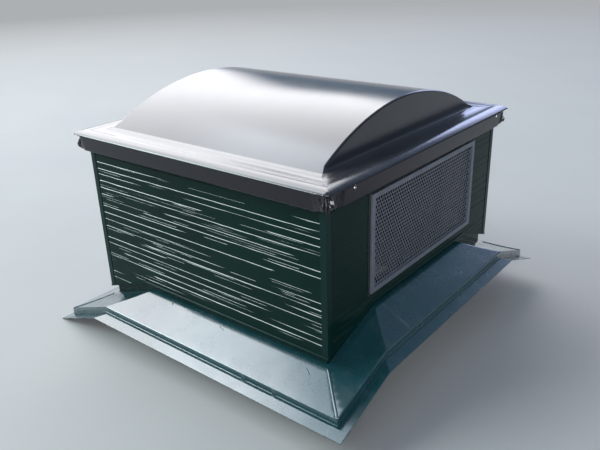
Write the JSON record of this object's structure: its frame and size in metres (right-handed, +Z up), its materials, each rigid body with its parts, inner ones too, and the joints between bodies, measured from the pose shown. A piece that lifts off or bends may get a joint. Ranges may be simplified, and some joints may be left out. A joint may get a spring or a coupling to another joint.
{
  "type": "roof cupola",
  "caption": "Square roof cupola with a moulded vault skylight, ribbed cladding, perforated side vents and folded flashings that follow a hip roof.",
  "frame": {"origin": "middle of the footprint, at the lowest edge of the flashing, where the curb walls also end", "axes": "+X along the front wall towards the wall with the vent that the picture shows, +Y from the front wall to the back wall, +Z up"},
  "size_m": [1.172, 1.192, 0.7718],
  "materials": {
    "smoked_dome": "gloss",
    "green_cladding": "gloss",
    "green_trim": "gloss",
    "green_flashing": "gloss",
    "zinc_sheet": "satin",
    "plywood": "matt",
    "softwood": "matt"
  },
  "bodies": {
    "root": {"skylight_dome": "smoked_dome", "front_siding": "green_cladding", "right_siding": "green_cladding", "back_siding": "green_cladding", "left_siding": "green_cladding", "front_left_corner_trim": "green_trim", "front_right_corner_trim": "green_trim", "back_left_corner_trim": "green_trim", "back_right_corner_trim": "green_trim", "front_sheathing": "plywood", "right_sheathing": "plywood", "back_sheathing": "plywood", "left_sheathing": "plywood", "front_left_post": "softwood", "front_right_post": "softwood", "back_left_post": "softwood", "back_right_post": "softwood", "front_top_plate": "softwood", "right_top_plate": "softwood", "back_top_plate": "softwood", "left_top_plate": "softwood", "front_sill": "softwood", "right_sill": "softwood", "back_sill": "softwood", "left_sill": "softwood", "right_vent_studs": "softwood", "left_vent_studs": "softwood", "right_vent_frame": "zinc_sheet", "left_vent_frame": "zinc_sheet", "right_vent_grille": "zinc_sheet", "left_vent_grille": "zinc_sheet", "front_upstand": "green_trim", "right_upstand": "green_trim", "back_upstand": "green_trim", "left_upstand": "green_trim", "front_apron": "green_flashing", "right_apron": "green_flashing", "back_apron": "green_flashing", "left_apron": "green_flashing", "front_edge_strip": "green_flashing", "right_edge_strip": "green_flashing", "back_edge_strip": "green_flashing", "left_edge_strip": "green_flashing"}
  },
  "joints": []
}
